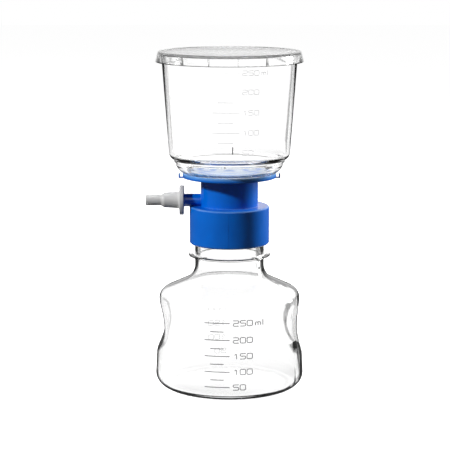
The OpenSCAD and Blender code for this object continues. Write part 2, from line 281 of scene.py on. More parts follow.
def smooth(piece, degrees):
    alone(piece)
    bpy.ops.object.shade_smooth_by_angle(angle=math.radians(degrees))
    return piece


def apply_all(piece):
    alone(piece)
    for modifier in list(piece.modifiers):
        bpy.ops.object.modifier_apply(modifier=modifier.name)


def arc_points(x, z, radius, start, stop, count):
    """Points on an arc in the plane y = 0. Angles are in degrees, from +X towards +Z."""
    turns = [math.radians(start + (stop - start) * i / count) for i in range(count + 1)]
    return [(x + radius * math.cos(t), z + radius * math.sin(t)) for t in turns]


def rows(start, stop, count):
    """Points evenly spaced between two points, without the two ends."""
    return [tuple(a + (b - a) * i / count for a, b in zip(start, stop)) for i in range(1, count)]


def size_mm(piece):
    return [round(v / MM, 1) for v in piece.dimensions]

print("outline helpers ready")

# %% [markdown]
# ## The receiver bottle
# The bottle is moulded clear plastic with a domed base, two finger grips and a threaded neck. Its
# wall has two surfaces, and light bends at both, so the outline runs up the outside, over the mouth
# and down the inside. The rows of points are close together where the grips and the thread will be
# pressed in afterwards.

# %% The bottle's outline
# Sizes in mm and degrees: the body and its foot, the shoulder, the neck and its mouth.
wide_r, foot_r, foot_in_r, heel_r, dome_h = 45.1, 37.1, 34.1, 8.0, 2.4
shoulder_r, shoulder_z, corner_r, slope = 42.8, 54.5, 6.5, 25
neck_r, bore_r, sweep_r, mouth_z, wall = 20.9, 18.9, 10.0, 107.3, 1.4
lip_out, lip_in, bore_foot_z = 0.6, 0.4, 81.0

lean = math.degrees(math.atan((wide_r - shoulder_r) / (shoulder_z - heel_r)))
corner = (shoulder_r - corner_r * math.cos(math.radians(lean)),
          shoulder_z - corner_r * math.sin(math.radians(lean)))
across, up = math.sin(math.radians(slope)), math.cos(math.radians(slope))
corner_end = (corner[0] + corner_r * across, corner[1] + corner_r * up)
sweep_x = neck_r + sweep_r
sweep_z = corner_end[1] + (sweep_r - (sweep_x - corner_end[0]) * across) / up
dome_r = (foot_in_r ** 2 + dome_h ** 2) / (2 * dome_h)
dome_edge = 90 - math.degrees(math.asin(foot_in_r / dome_r))

# The last number of each arc or row is how many steps it is cut into.
outside = (arc_points(0, dome_h - dome_r, dome_r, 90, dome_edge, 16)
           + arc_points(foot_r, heel_r, heel_r, -90, 0, 14)
           + rows((wide_r, heel_r), (shoulder_r, shoulder_z), 46)
           + arc_points(*corner, corner_r, lean, 90 - slope, 12))
outside += (rows(outside[-1], (sweep_x - sweep_r * across, sweep_z - sweep_r * up), 6)
            + arc_points(sweep_x, sweep_z, sweep_r, 270 - slope, 180, 14))
lip = (arc_points(neck_r - lip_out, mouth_z - lip_out, lip_out, 0, 90, 5)
       + arc_points(bore_r + lip_in, mouth_z - lip_in, lip_in, 90, 180, 4))
inside = (rows((bore_r, mouth_z - lip_in), (bore_r, bore_foot_z), 8) + [(bore_r, bore_foot_z)]
          + arc_points(sweep_x, sweep_z, sweep_r + wall, 180, 270 - slope, 14)
          + arc_points(*corner, corner_r - wall, 90 - slope, lean, 12)
          + rows((shoulder_r - wall, shoulder_z), (wide_r - wall, heel_r), 46)
          + arc_points(foot_r, heel_r, heel_r - wall, 0, -90, 12)
          + arc_points(0, dome_h - dome_r, dome_r + wall, dome_edge, 90, 16))
bottle_line = (outside + rows((neck_r, sweep_z), (neck_r, mouth_z - lip_out), 88)
               + lip + inside)
print("bottle outline:", len(bottle_line), "points")

# %% Spin the bottle
def spun_outline(name, line, steps, closed=True):
    return spun(drawn(name, [(x * MM, 0, z * MM) for x, z in line], closed), steps)


bottle = spun_outline("bottle_glass", bottle_line, steps=240, closed=False)
print("bottle:", len(bottle.data.polygons), "faces")

# %% [markdown]
# ## The ring round the neck
# A thin ring stands out from the neck, where a hand or a tool holds the bottle. It is thicker at
# its root than at its round edge, and it stops a hair short of the neck, because two clear faces in
# one place would show as a dark patch.

# %% Neck ring
ring_r, ring_z, ring_edge, ring_root, ring_gap = 24.9, 81.0, 0.6, 0.8, 0.04
ring_line = (arc_points(ring_r - ring_edge, ring_z, ring_edge, -90, 90, 12)
             + [(neck_r + ring_gap, ring_z + ring_root), (neck_r + ring_gap, ring_z - ring_root)])
neck_ring = spun_outline("neck_ring", ring_line, steps=160)
print("neck ring:", len(neck_ring.data.polygons), "faces")

# %% [markdown]
# ## Pressing forms into a fine grid
# The grips and the neck thread follow rules that are easy to write and hard to push by hand. Each
# rule paints a vertex group, from 0 where nothing moves to 1 where the form is deepest, and a
# Displace modifier moves the painted points. Both walls of the bottle follow, so that it keeps its
# thickness.

# %% Paint and press
least_weight = 0.001


def painted(piece, name, rule):
    group = piece.vertex_groups.new(name=name)
    for vertex in piece.data.vertices:
        weight = rule(*(vertex.co / MM))
        if weight > least_weight:
            group.add([vertex.index], min(1.0, weight), "REPLACE")


def pressed(piece, name, rule, travel, direction):
    painted(piece, name, rule)
    press = piece.modifiers.new(name, "DISPLACE")
    press.vertex_group = name
    press.direction = direction
    press.mid_level = 0
    press.strength = travel * MM


def skin_r(z):
    """Outer radius of the bottle's body at height z, without the grips, in mm."""
    if z <= shoulder_z:
        return wide_r - (z - heel_r) * math.tan(math.radians(lean))
    return corner[0] + math.sqrt(max(0.0, corner_r ** 2 - (z - corner[1]) ** 2))

print("bottle's radius at half height:", round(skin_r(shoulder_z / 2), 2), "mm")

# %% [markdown]
# ## The grips
# Each side of the bottle is pressed in to a hollow for the fingers. In plan a hollow is a flatter
# arc than the bottle's own, in height it fades out along an arc, and a soft crease runs round it.
# The right one is shallower and wider. The same rule also paints where a dark stroke of painted
# shade goes along the crease, for the finish to read later on: all of it at the back, and only its
# foot in front.

# %% Grips
grip_z, grip_up, grip_down, crease = 37.5, 16.0, 13.3, 1.8
grip_low, grip_high, grip_inner_r, spare = 21, 57, 36, 1
grips = {"left_grip": (-1, 3.9, 26.5), "right_grip": (1, 2.2, 31)}
# Painted shade strokes along the creases: how far each reaches in mm and how dark it is, at the back
# and in front, the height above which the front has none, and the share over which it fades.
back_fold_shade = (0.75, 1.0)  # how far it reaches in mm, and how deep it is
front_fold_shade, front_fold_shade_top, fade_share = (1.3, 0.9), 31, 0.4


def grip_rule(side, depth, half_angle, fold_shade_only=False):
    """How far a grip moves the skin inwards along X, as a share of its whole depth."""
    middle = skin_r(grip_z)
    near = middle - depth
    centre = (middle ** 2 - near ** 2) / (2 * (near - middle * math.cos(math.radians(half_angle))))

    def rule(x, y, z):
        if side * x <= 0 or not grip_low < z < grip_high or math.hypot(x, y) < grip_inner_r:
            return 0
        rise = grip_up if z > grip_z else grip_down
        bend = (rise ** 2 + depth ** 2) / (2 * depth)
        fall = abs(z - grip_z)
        if fall >= bend:
            return 0
        limit = centre + near + bend - math.sqrt(bend ** 2 - fall ** 2)
        grow = skin_r(z) / math.hypot(x, y)
        skin_x, skin_y = side * x * grow, y * grow
        from_centre = math.hypot(skin_x + centre, skin_y)
        soft = max(crease - abs(from_centre - limit), 0) / crease
        # Asked for the fold only, the rule gives how dark the painted shade stroke along the crease
        # is.
        if fold_shade_only:
            if y <= 0 and z >= front_fold_shade_top:
                return 0
            reach, deep = back_fold_shade if y > 0 else front_fold_shade
            left = max(reach - abs(from_centre - limit), 0)
            return deep * min(1.0, left / (fade_share * reach))
        pressed_to = min(from_centre, limit) - soft ** 2 * crease / 4
        if pressed_to <= abs(skin_y):
            return 0
        return (skin_x + centre - math.sqrt(pressed_to ** 2 - skin_y ** 2)) / (depth + spare)
    return rule


for name, (side, depth, half_angle) in grips.items():
    pressed(bottle, name, grip_rule(side, depth, half_angle), -side * (depth + spare), "X")
painted(bottle, "fold_shade_right", grip_rule(*grips["right_grip"], fold_shade_only=True))
painted(bottle, "fold_shade_left", grip_rule(*grips["left_grip"], fold_shade_only=True))
print("grips painted:", [g.name for g in bottle.vertex_groups])

# %% [markdown]
# ## The neck's thread
# The thread climbs 4.5 mm a turn, which is the rise that the CAD's screw joint gives the head. It
# is pressed out of the neck, with its two ends run out over a few degrees.

# %% Neck thread
pitch, thread_h, thread_low, thread_turns = 4.5, 1.2, 92.0, 1.9
ridge_half, flank, run_out_angle, spare_r, spare_z = 1.25, 0.7, 25, 0.1, 2


def ridge(across):
    """Height of the thread's ridge, from 0 to 1, at a distance across from its middle, in mm."""
    t = min(1.0, max(0.0, (ridge_half - abs(across)) / flank))
    return t * t * (3 - 2 * t)


def thread_rule(x, y, z):
    """Height of the thread at a point of the neck, as a share of its full height."""
    top, thread_angle = thread_low + thread_turns * pitch, thread_turns * 360
    if math.hypot(x, y) < neck_r - spare_r or not thread_low - spare_z < z < top + spare_z:
        return 0
    angle = math.degrees(math.atan2(y, x)) % 360
    height = 0
    for turn in range(math.ceil(thread_turns) + 1):
        along = angle + 360 * turn
        if along <= thread_angle:
            run_out = min(1.0, along / run_out_angle, (thread_angle - along) / run_out_angle)
            height = max(height, run_out * ridge(z - thread_low - pitch * along / 360))
    return height


pressed(bottle, "neck_thread", thread_rule, thread_h, "NORMAL")
apply_all(bottle)
smooth(bottle, 40)
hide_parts("receiver_bottle")
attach(bottle, "bottle")
smooth(neck_ring, 40)
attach(neck_ring, "bottle")
print("bottle reaches", size_mm(bottle), "mm")

# %% [markdown]
# ## Soft corners
# Moulded edges are never quite sharp, and on clear plastic each edge shows as a line of its own.
# The first helper swaps each corner of an outline for a short curve. The second moves a line
# sideways by the wall, which gives the inside of a vessel from its outside.

# %% Rounded corners and walls
most_of_side = 0.48


def rounded(points, radius, closed=True, count=5):
    """points with each corner softened, in count steps. radius is one size, or one for each."""
    sizes = radius if isinstance(radius, list) else [radius] * len(points)
    result = []
    for i, (point, size) in enumerate(zip(points, sizes)):
        here = Vector(point)
        if size == 0 or not closed and i in (0, len(points) - 1):
            result.append(tuple(here))
            continue
        before = Vector(points[i - 1]) - here
        after = Vector(points[(i + 1) % len(points)]) - here
        start, stop = (here + way.normalized() * min(size, way.length * most_of_side)
                       for way in (before, after))
        for step in range(count + 1):
            t = step / count
            result.append(tuple(start * (1 - t) ** 2 + here * 2 * t * (1 - t) + stop * t * t))
    return result


def walled(line, wall):
    """The line moved to its left by the wall, with its corners kept sharp."""
    result = []
    for i, point in enumerate(line):
        near, far = max(i, 1), min(i, len(line) - 2)
        before = (Vector(line[near]) - Vector(line[near - 1])).normalized()
        after = (Vector(line[far + 1]) - Vector(line[far])).normalized()
        left = Vector((-before.y, before.x))
        side = (left + Vector((-after.y, after.x))).normalized()
        result.append(tuple(Vector(point) + side * (wall / side.dot(left))))
    return result

print("corner and wall helpers ready")

# %% [markdown]
# ## The upper chamber
# The chamber is one moulding: a lip that holds the membrane down, a bowed foot, a ring with a small
# step, a short cone and the long leaning wall. Its outline is drawn once with the CAD's sizes and
# soft corners, and spun. It stops a hair short of the disc and of the lid, so that no two clear
# faces share one place.

# %% The bow of the chamber's foot
disc_z, foot_r_at_disc, chamber_ring_r, chamber_ring_z, bulge = 131.0, 27.6, 32.1, 135.6, 0.55
foot, ring_low = Vector((foot_r_at_disc, disc_z)), Vector((chamber_ring_r, chamber_ring_z))
half_chord = (ring_low - foot).length / 2
bow_r = (half_chord ** 2 + bulge ** 2) / (2 * bulge)
chord = (ring_low - foot).normalized()
bow_centre = (foot + ring_low) / 2 + Vector((-chord.y, chord.x)) * (bow_r - bulge)
bow_start, bow_stop = (math.degrees(math.atan2(p.y - bow_centre.y, p.x - bow_centre.x))
                       for p in (foot, ring_low))
bow = arc_points(*bow_centre, bow_r, bow_start, bow_stop, 12)
print("bow radius:", round(bow_r, 1), "mm")

# %% Chamber
rim_z, chamber_wall, hair = 202.6, 2.0, 0.03
step_r, step_low, step_top = 33.3, 137.8, 139.0
cone_top, wall_foot, wall_top = (35.6, 140.8), (36.4, 142.4), (40.8, rim_z)
opening_r, lip_t, lip_slope, lip_low = 24.3, 1.2, 0.6, 0.7

inner = walled(bow + [(chamber_ring_r, step_top), cone_top, wall_foot, wall_top], chamber_wall)
outer = bow + rounded([(chamber_ring_r, chamber_ring_z), (chamber_ring_r, step_low),
                       (step_r, step_low), (step_r, step_top), cone_top, wall_foot, wall_top,
                       (38.8, rim_z)],
                      [0, 0.35, 0.4, 0.4, 0.6, 1.2, 0.6, 0], closed=False)[1:-1]
high_inside = rounded([wall_top] + inner[:len(bow) - 1:-1] + [inner[len(bow) - 1]],
                      [0, 0.5, 1.2, 1.0, 1.2, 0], closed=False)[1:-1]
low_inside = [(x, z) for x, z in inner[:len(bow)] if x > opening_r + lip_slope]
chamber_line = ([(opening_r, disc_z)] + outer + high_inside + low_inside[::-1]
                + [(opening_r + lip_slope, disc_z + lip_t), (opening_r, disc_z + lip_low)])
chamber_line = [(x, min(max(z, disc_z + hair), rim_z - hair)) for x, z in chamber_line]
chamber = smooth(spun_outline("chamber_wall", chamber_line, steps=144), 35)
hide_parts("upper_chamber")
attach(chamber, "head")
print("chamber:", len(chamber.data.polygons), "faces,", size_mm(chamber), "mm")

# %% [markdown]
# ## The lid
# The lid is a thin moulding with a raised rim round its flat top and a leaning skirt. Fifteen ribs
# inside the skirt centre it on the chamber. One rib is drawn, filled and given its width, and then
# copied round.

# %% Lid
skirt_z, plate_z, lid_top = 197.8, 203.8, 204.2
lid_line = rounded([(0, rim_z), (41.6, rim_z), (43.0, skirt_z), (44.2, skirt_z), (42.8, lid_top),
                    (40.8, lid_top), (40.4, plate_z), (0, plate_z)],
                   [0, 0.6, 0.58, 0.58, 0.8, 0.15, 0.2, 0])
lid_shell = smooth(spun_outline("lid_shell", lid_line, steps=144), 35)
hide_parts("lid")
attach(lid_shell, "cover")
print("lid:", len(lid_shell.data.polygons), "faces,", size_mm(lid_shell), "mm")

# %% Ribs of the lid
def turned_copy(piece, name, degrees):
    """A copy of a piece with its own mesh, turned about the upright axis."""
    alone(piece)
    bpy.ops.object.duplicate(linked=False)
    copy = bpy.context.object
    copy.name = copy.data.name = name
    copy.rotation_euler.z = math.radians(degrees)
    bpy.ops.object.transform_apply(location=True, rotation=True, scale=True)
    return copy


def joined(name, pieces):
    alone(pieces[0])
    for piece in pieces:
        piece.select_set(True)
    bpy.ops.object.join()
    whole = bpy.context.object
    whole.name = whole.data.name = name
    return whole


rib_t, rib_low, rib_top, rib_edge, rib_count, rib_turn = 0.8, 198.4, 202.56, 0.12, 15, 7
rib = drawn("lid_rib", [Vector((x, -rib_t / 2, z)) * MM for x, z in
                        ((40.68, rib_low), (42.8, rib_low), (41.58, rib_top), (40.99, rib_top))],
            closed=True)
edit(rib)
bpy.ops.mesh.edge_face_add()
bpy.ops.mesh.extrude_region_move(TRANSFORM_OT_translate={"value": (0, rib_t * MM, 0)})
bpy.ops.mesh.select_all(action="SELECT")
bpy.ops.mesh.normals_make_consistent(inside=False)
bpy.ops.mesh.bevel(offset=rib_edge * MM, segments=2, affect="EDGES")
done()
ribs = [turned_copy(rib, "rib", i * 360 / rib_count - 90 + rib_turn) for i in range(rib_count)]
bpy.data.objects.remove(rib)
lid_ribs = smooth(joined("lid_ribs", ribs), 40)
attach(lid_ribs, "cover")
print(rib_count, "ribs:", len(lid_ribs.data.polygons), "faces")

# %% [markdown]
# ## Beads
# Raised print and small mould marks are thin round beads on the wall, made like a piped line: wires
# become curves, the curves get a round bevel, and the result is made a mesh again.

# %% Beads
def beads(name, wires, radius):
    """One mesh of round beads along wires. A wire is its points in mm, and whether it is closed."""
    piece = joined(name, [drawn(name, [Vector(p) * MM for p in points], closed)
                          for points, closed in wires])
    bpy.ops.object.convert(target="CURVE")
    curve = bpy.context.object.data
    curve.bevel_depth = radius * MM
    curve.bevel_resolution = 1
    curve.use_fill_caps = True
    bpy.ops.object.convert(target="MESH")
    piece = bpy.context.object
    piece.name = piece.data.name = name
    return smooth(piece, 60)


def on_wall(across, z, radius):
    """A point on a round wall, at a distance across from straight in front, in mm."""
    angle = across / radius
    return radius * math.sin(angle), -radius * math.cos(angle), z

print("beads ready")

# %% [markdown]
# ## The graduations
# Bottle and chamber carry a raised scale in millilitres on the front. The bottle has a shorter and
# paler one on its back. The digits are drawn as wide, squarish strokes on a grid of 0 to 1,
# softened at the corners, and laid on the wall: a distance across becomes an angle round the axis.

# %% Strokes of the digits
STROKES = {
    "0": [([(0, 0), (1, 0), (1, 1), (0, 1)], True)],
    "1": [([(0.25, 0.72), (0.62, 1), (0.62, 0)], False)],
    "2": [([(0, 1), (1, 1), (1, 0.52), (0, 0.48), (0, 0), (1, 0)], False)],
    "5": [([(1, 1), (0, 1), (0, 0.54), (1, 0.54), (1, 0), (0, 0)], False)],
    "m": [([(0, 0), (0, 0.6), (0.5, 0.6), (0.5, 0)], False),
          ([(0.5, 0.6), (1, 0.6), (1, 0)], False)],
    "l": [([(0.2, 0), (0.2, 1)], False)],
}
corner_share, space_share = 0.28, 0.05  # of a digit's height, and of its width


def label_wires(text, start, middle_z, radius_at, width, height, gap):
    wires = []
    for letter in text:
        for stroke, closed in STROKES.get(letter, []):
            flat = [(start + x * width, middle_z + (y - 0.5) * height) for x, y in stroke]
            soft = rounded(flat, corner_share * height, closed, count=3)
            wires.append(([on_wall(x, z, radius_at(z)) for x, z in soft], closed))
        start += width * (space_share if letter == " " else 1) + gap
    return wires


def line_wires(start, stop, z, radius_at, pieces=8):
    steps = [start + (stop - start) * i / pieces for i in range(pieces + 1)]
    return [([on_wall(x, z, radius_at(z)) for x in steps], False)]


def scale_wires(radius_at, labels, ticks, line, tick, digits):
    """A long line and a number at each label's height, and a short line at each tick's.

    line and tick say where a line starts and stops across the wall. digits says where a number
    starts, how wide and high a digit is, and the gap between two. All in mm.
    """
    start, *digit_size = digits
    wires = []
    for text, z in labels.items():
        wires += line_wires(*line, z, radius_at)
        wires += label_wires(text, start, z, radius_at, *digit_size)
    for z in ticks:
        wires += line_wires(*tick, z, radius_at)
    return wires

print("strokes ready for", " ".join(STROKES))

# %% The bottle's scale
def bottle_marks(name, labels, ticks):
    wires = scale_wires(skin_r, labels, ticks, line=(-15.0, 0.0), tick=(-11.5, -3.6),
                        digits=(2.1, 3.3, 3.2, 0.85))
    return beads(name, wires, radius=0.23)


# Heights in mm, from the base up to each mark.
labels, ticks = {"200": 37.5, "150": 27.9, "100": 18.5, "50": 9.3}, (32.4, 23.1, 13.7)
bottle_scale_back = alone(bottle_marks("bottle_scale_back", labels, ticks))
bottle_scale_back.rotation_euler.z = math.pi
bpy.ops.object.transform_apply(location=True, rotation=True, scale=True)
bottle_scale = bottle_marks("bottle_scale", {"250 ml": 47.6} | labels, (42.5,) + ticks)
for piece in (bottle_scale, bottle_scale_back):
    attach(piece, "bottle")
    print(piece.name, len(piece.data.polygons), "faces")

# %% The chamber's scale
def chamber_r(z):
    """Outer radius of the chamber's straight wall at height z, in mm."""
    (low_r, low_z), (top_r, top_z) = wall_foot, wall_top
    return low_r + (top_r - low_r) * (z - low_z) / (top_z - low_z)


labels = {"250 ml": 194.1, "200": 183.0, "150": 171.0, "100": 159.2, "50": 147.4}
chamber_scale = beads("chamber_scale", scale_wires(
    chamber_r, labels, (188.6, 177.0, 165.1, 153.3), line=(-10.2, 5.8), tick=(-7.0, 2.0),
    digits=(7.4, 2.9, 2.8, 0.7)), radius=0.12)
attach(chamber_scale, "head")
print("chamber scale:", len(chamber_scale.data.polygons), "faces")

# %% [markdown]
# ## The chamber's gate marks
# Plastic enters a mould through a small gate, and the cut leaves a short upright mark. The chamber
# has one low on its wall and a smaller one on the step of its ring.

# %% Gate marks
sunk = 0.05
wall_gate = [on_wall(1.75, z, chamber_r(z) - sunk) for z in (146.9, 148.2, 149.6, 151.0)]
step_gate = [on_wall(-2.75, z, step_r) for z in (138.0, 138.6, 139.0)]
gate_marks = beads("gate_marks", [(wall_gate, False), (step_gate, False)], radius=0.28)
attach(gate_marks, "head")
print("gate marks:", len(gate_marks.data.polygons), "faces")

# %% [markdown]
# ## The collar's own thread and its parting lines
# Inside the collar a ridge runs between the turns of the neck's thread. A small profile stands in
# the collar's bore, and a Screw modifier carries it round and up by the same 4.5 mm a turn. Two
# fine upright lines on the outside show where the halves of the mould met.

# %% Collar thread
collar_turns, collar_bore_r, crest_r, root_half, crest_half = 1.75, 22.7, 21.3, 1.2, 0.45
low = thread_low - pitch / 2
profile = ((collar_bore_r, -root_half), (collar_bore_r, root_half),
           (crest_r, crest_half), (crest_r, -crest_half))
collar_thread = drawn("collar_thread", [Vector((r, 0, low + z)) * MM for r, z in profile],
                      closed=True)
screw = collar_thread.modifiers.new("climb", "SCREW")
screw.angle = 2 * math.pi * collar_turns
screw.screw_offset = pitch * collar_turns * MM
screw.steps = screw.render_steps = 168
apply_all(collar_thread)
edit(collar_thread)
bpy.ops.mesh.remove_doubles(threshold=1e-7)
bpy.ops.mesh.select_all(action="DESELECT")
bpy.ops.mesh.select_non_manifold(extend=False)
bpy.ops.mesh.edge_face_add()
bpy.ops.mesh.select_all(action="SELECT")
bpy.ops.mesh.normals_make_consistent(inside=False)
done()
smooth(collar_thread, 50)
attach(collar_thread, "head")
print("collar thread:", len(collar_thread.data.polygons), "faces, up to",
      round(max(v.co.z for v in collar_thread.data.vertices) / MM, 1), "mm")

# %% Parting lines
collar_r, seam_across = 24.05, -0.7
parting = beads("parting_lines", [
    ([on_wall(across, z, collar_r) for z in (88.9, 92.0, 98.0, 104.0, 109.9)], False)
    for across in (seam_across, math.pi * collar_r + seam_across)], radius=0.09)
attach(parting, "head")
print("parting lines:", len(parting.data.polygons), "faces")

# %% [markdown]
# ## The hose adapter
# The adapter is turned about the side arm's level axis. Its flange, barrel, cone and hose tip are
# one outline, with soft corners outside and the socket for the side arm inside.

# %% Hose adapter
arm_z, stop_x = 114.2, 27.6
# Each point is a distance along the arm and a radius.
adapter_line = rounded(
    [(0, 3.15), (11, 3.15), (11, 2.0), (23.1, 2.0), (23.1, 3.2), (13.8, 3.2), (11.9, 4.45),
     (2.7, 5.0), (2.7, 8.95), (0, 8.95)],
    [0.35, 0, 0, 0.3, 0.9, 0.5, 0.9, 1.1, 0.9, 0.5])
adapter = drawn("hose_adapter_body", [Vector((-stop_x - along, 0, arm_z + radius)) * MM
                                      for along, radius in adapter_line], closed=True)
smooth(spun(adapter, 72, centre=(0, 0, arm_z * MM), axis=(1, 0, 0)), 35)
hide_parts("hose_adapter")
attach(adapter, "adapter")
print("adapter:", len(adapter.data.polygons), "faces,", size_mm(adapter), "mm")

# %% [markdown]
# ## Clear plastic
# The bottle, the chamber and the lid are clear mouldings. Light goes straight through them face on,
# and near their edges, where a line of sight runs a long way inside the wall, they look dark. The
# material paints that dark as shade in its colour. It measures how edge-on the surface is seen, from
# 0 to 1, adds small shifts for the side, the height or the direction that a surface faces, and
# darkens the colour between two limits, a painted edge shade. A slow, shallow waviness bends the
# light a little, as real mouldings do.

# %% Helpers for patterns
def speckle(tree, place, size, detail=2.0, stretch=(1, 1, 1)):
    """Noise on the object's own coordinates. size is the size of its spots, in mm."""
    scaled = add_node(tree, "ShaderNodeMapping", {"Vector": place, "Scale": stretch})
    inputs = {"Vector": scaled.outputs["Vector"], "Scale": 1 / (size * MM), "Detail": detail}
    return add_node(tree, "ShaderNodeTexNoise", inputs).outputs["Fac"]


def fold_shaded_tint(tree, place, edge_on, fold_shade, shaded_tint):
    """Painted shade: the colour darkened in an uneven stroke seen edge-on, where the fold attribute
    is above 0.
    """
    seen = spread(tree, edge_on, 0.31, 0.43, 0.0, 0.99)
    broken = spread(tree, speckle(tree, place, 3.0, 3.0, (1, 1, 0.5)), 0.35, 0.6, 0.85, 1.0)
    stroke = calculated(tree, "MULTIPLY", calculated(tree, "MULTIPLY", seen, broken),
                        spread(tree, fold_shade, 0.0, 1.0, 0.0, 1.0))
    return calculated(tree, "MULTIPLY", shaded_tint, calculated(tree, "SUBTRACT", 1.0, stroke))

print("pattern helpers ready")

# %% Make clear plastic
face_on_tint = 0.99


def clear_plastic(name, edge, start, full, shifts=(), uneven=0.0, folds=False, band=None,
                  flat=None, rough=0.015, ior=1.5):
    """edge is the light left at the very edge, start and full are the limits of the painted shade.

    A shift is (what, low, high, at_low, at_high), where what is side, upward or height.
    uneven makes the painted shade lumpy on the side that faces right, and folds reads the attribute
    that paints shade strokes at the folds. band is (low, high, light left), a painted dark line on
    surfaces as they turn level, and flat is (low, high, colour, roughness) for level surfaces, where
    a pair of roughnesses is for the front and the back, and the colour, a painted grey reflection,
    then fades to clear at the back.
    """
    material, tree = new_material(name)
    faces = parts_of(tree, add_node(tree, "ShaderNodeNewGeometry").outputs["Normal"])
    place = add_node(tree, "ShaderNodeTexCoord").outputs["Object"]
    where = parts_of(tree, place)
    edge_on = add_node(tree, "ShaderNodeLayerWeight", {"Blend": 0.5}).outputs["Facing"]

    # Painted shade: the more edge-on a surface is seen, with the shifts and lumps, the darker its
    # colour.
    total = edge_on
    sources = {"side": faces["X"], "upward": faces["Z"], "height": where["Z"]}
    for what, *limits in shifts:
        total = calculated(tree, "ADD", total, spread(tree, sources[what], *limits))
    if uneven:
        spots = speckle(tree, place, 3.8, stretch=(1, 1, 0.35))
        lumps = spread(tree, spots, 0.35, 0.65, -uneven, uneven)
        right = spread(tree, faces["X"], 0.2, 0.9, 0.0, 1.0)
        total = calculated(tree, "ADD", total, calculated(tree, "MULTIPLY", lumps, right))
    # The fold attribute takes painted shade away inside the right grip, and paints dark strokes at
    # the creases.
    if folds:
        fold_shade = add_node(tree, "ShaderNodeAttribute", attribute_name="fold_shade").outputs["Fac"]
        total = calculated(tree, "ADD", total, spread(tree, fold_shade, -1.0, 0.0, -0.2, 0.0))
    shaded_tint = spread(tree, total, start, full, face_on_tint, edge, interpolation_type="SMOOTHSTEP")
    if folds:
        shaded_tint = fold_shaded_tint(tree, place, edge_on, fold_shade, shaded_tint)

    level = calculated(tree, "ABSOLUTE", faces["Z"])
    # A painted dark line on surfaces as they turn level.
    if band:
        low, high, left = band
        line = spread(tree, level, low, high, 1.0, left, interpolation_type="SMOOTHSTEP")
        shaded_tint = calculated(tree, "MULTIPLY", shaded_tint, line)
    polish = spread(tree, speckle(tree, place, 9.0), 0.3, 0.7, 0.7 * rough, 1.4 * rough)
    # The most level surfaces get their own colour and roughness; on the lid a painted grey
    # reflection in front, which fades to clear towards the back.
    if flat:
        low, high, flat_tint, flat_rough = flat
        lies = spread(tree, level, low, high, 0.0, 1.0)
        if isinstance(flat_rough, tuple):
            depth = spread(tree, where["Y"], -0.035, 0.02, 0.0, 1.0)
            flat_tint = choose(tree, depth, flat_tint, face_on_tint)
            flat_rough = choose(tree, depth, *flat_rough)
        shaded_tint = choose(tree, lies, shaded_tint, flat_tint)
        polish = choose(tree, lies, polish, flat_rough)

    waves = add_node(tree, "ShaderNodeBump", {
        "Strength": 0.05, "Distance": 0.0002, "Height": speckle(tree, place, 14.0, 1.0)})
    shader = add_node(tree, "ShaderNodeBsdfPrincipled", {
        "Transmission Weight": 1.0, "IOR": ior, "Base Color": shaded_tint, "Roughness": polish,
        "Normal": waves.outputs["Normal"]})
    add_node(tree, "ShaderNodeOutputMaterial", {"Surface": shader.outputs["BSDF"]})
    return material

print("clear plastic ready to be made")

# %% [markdown]
# ## One clear plastic for each wall
# Every wall gets its own limits for its painted edge shade. On the bottle the painted shade grows
# towards its shoulder and at its foot, on faces that turn down and more on one side, with a painted
# dark line round the base. The chamber's two skins draw a double line down each side, and its foot
# stays clearer. Raised marks are thin, and take more painted shade.

# %% Clear plastics of the bottle
# Painted shade: darker on the right side, towards the shoulder and the foot, on faces turned down,
# and in a painted dark line round the base about 3 to 4 mm up. The inner skin is shaded more on its
# left.
clear_outside = clear_plastic("clear_bottle", 0.0005, 0.72, 0.83, folds=True, uneven=0.13, shifts=[
    ("side", 0, 1, 0, 0.10), ("height", 0.060, 0.078, 0, 0.2), ("upward", -0.9, -0.3, 0.3, 0),
    ("height", 0, 0.012, 0.12, 0), ("height", 0.0028, 0.0034, 0, 0.37),
    ("height", 0.0034, 0.0042, 0, -0.37)])
clear_inside = clear_plastic("clear_inside", 0.05, 0.82, 0.93, folds=True, shifts=[
    ("side", -1, 0, 0.14, 0), ("side", 0, 1, 0, -0.05), ("height", 0.060, 0.078, 0, 0.28)])
clear_base = clear_plastic("clear_base", 0.6, 0.88, 0.99)
# The ring's rounded edges take a painted dark line where they turn level.
clear_ring = clear_plastic("clear_ring", 0.1, 0.9, 0.99, band=(0.1, 0.5, 0.02),
                           flat=(0.97, 0.99, 0.99, 0.015), ior=1.2)
pale_mark = clear_plastic("pale_mark", 0.3, 0.0, 0.6, rough=0.1, ior=1.05)
bottle_plastics = (clear_outside, clear_inside, clear_base)
print("bottle's plastics:", [finish.name for finish in bottle_plastics])

# %% Clear plastics of the chamber and the lid
# Painted shade: darker on the right and on the lower wall, lighter at the foot; the inner skin is
# shaded more on its left.
chamber_outside = clear_plastic(
    "clear_chamber", 0.0005, 0.88, 0.96, ior=1.35, flat=(0.55, 0.8, 0.97, 0.015), shifts=[
        ("side", -1, 0, -0.05, 0), ("side", 0, 1, 0, 0.04), ("height", 0.142, 0.150, -0.15, 0),
        ("height", 0.150, 0.195, 0.07, 0)])
chamber_inside = clear_plastic(
    "chamber_inside", 0.02, 0.86, 0.95, ior=1.35, flat=(0.4, 0.6, 0.97, 0.015), shifts=[
        ("side", -1, 0, 0.14, 0), ("side", 0, 1, 0, 0.04), ("height", 0.142, 0.150, -0.13, 0),
        ("height", 0.150, 0.195, 0.07, 0)])
